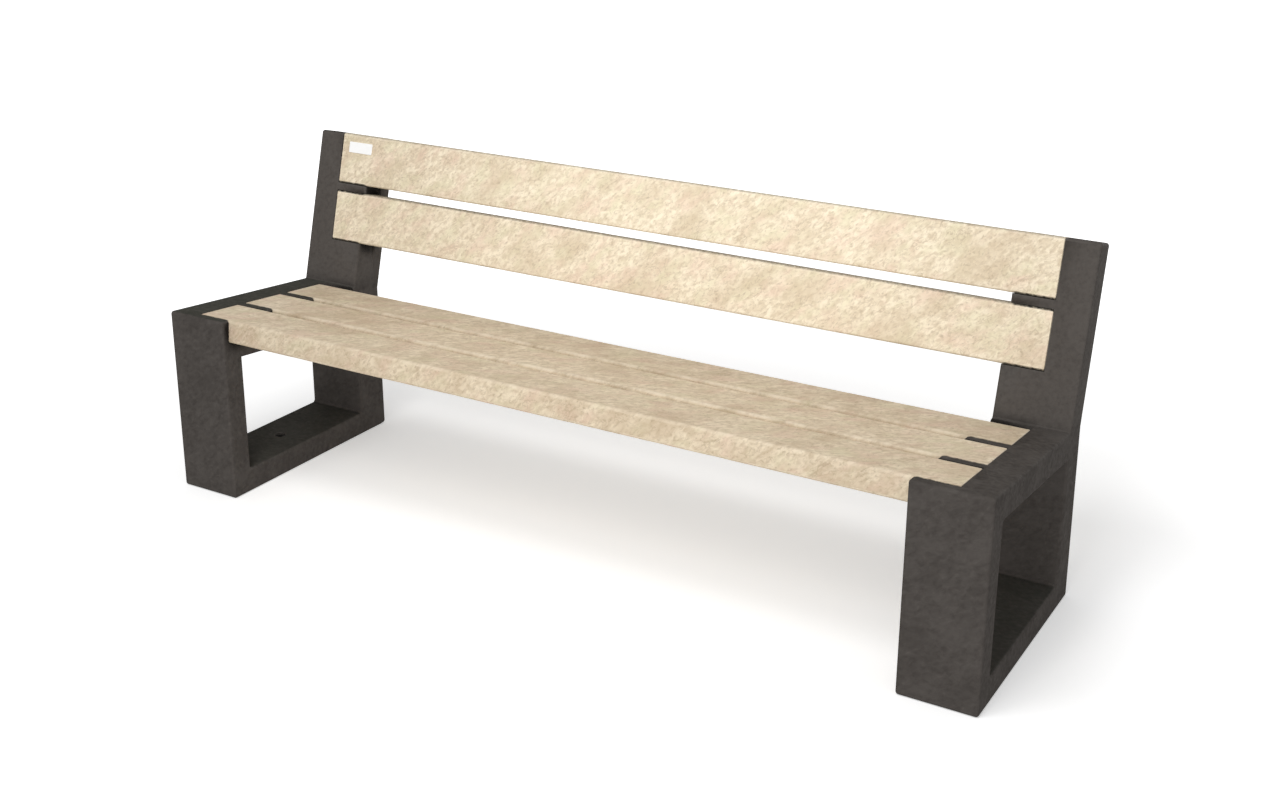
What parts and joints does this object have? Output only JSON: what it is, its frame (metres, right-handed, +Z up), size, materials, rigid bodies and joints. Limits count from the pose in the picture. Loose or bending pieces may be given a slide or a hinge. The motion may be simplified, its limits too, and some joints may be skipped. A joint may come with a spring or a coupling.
{
  "type": "park bench",
  "caption": "Park bench with a leaning slatted back: dark moulded loop end frames carry sand-coloured planks let flush into pockets and screwed from below and behind.",
  "frame": {"origin": "on the ground, under the middle of the bench's bounding box", "axes": "+X along the bench, to the sitter's left; +Y from the sitter's front to the back; +Z up"},
  "size_m": [2, 0.6556, 0.772],
  "materials": {
    "sand_plastic": "mottled, lightly streaked moulded plank",
    "anthracite_plastic": "fine slate grain, matt",
    "galvanised_steel": "hot dip zinc",
    "stainless_steel": "plain",
    "white_enamel": "blank, satin"
  },
  "bodies": {
    "root": {"end_frame_left": "anthracite_plastic", "end_frame_right": "anthracite_plastic", "anchor_sleeve_left": "galvanised_steel", "anchor_sleeve_right": "galvanised_steel", "seat_slat_front": "sand_plastic", "seat_slat_middle": "sand_plastic", "seat_slat_rear": "sand_plastic", "back_slat_lower": "sand_plastic", "back_slat_upper": "sand_plastic", "seat_core_front": "galvanised_steel", "seat_core_middle": "galvanised_steel", "seat_core_rear": "galvanised_steel", "back_core_lower": "galvanised_steel", "back_core_upper": "galvanised_steel", "seat_slat_front_screw_left_1": "stainless_steel", "seat_slat_front_screw_left_2": "stainless_steel", "seat_slat_front_screw_right_1": "stainless_steel", "seat_slat_front_screw_right_2": "stainless_steel", "seat_slat_middle_screw_left_1": "stainless_steel", "seat_slat_middle_screw_left_2": "stainless_steel", "seat_slat_middle_screw_right_1": "stainless_steel", "seat_slat_middle_screw_right_2": "stainless_steel", "seat_slat_rear_screw_left_1": "stainless_steel", "seat_slat_rear_screw_left_2": "stainless_steel", "seat_slat_rear_screw_right_1": "stainless_steel", "seat_slat_rear_screw_right_2": "stainless_steel", "back_slat_lower_screw_left_1": "stainless_steel", "back_slat_lower_screw_left_2": "stainless_steel", "back_slat_lower_screw_right_1": "stainless_steel", "back_slat_lower_screw_right_2": "stainless_steel", "back_slat_upper_screw_left_1": "stainless_steel", "back_slat_upper_screw_left_2": "stainless_steel", "back_slat_upper_screw_right_1": "stainless_steel", "back_slat_upper_screw_right_2": "stainless_steel", "blank_plate": "white_enamel"}
  },
  "joints": []
}
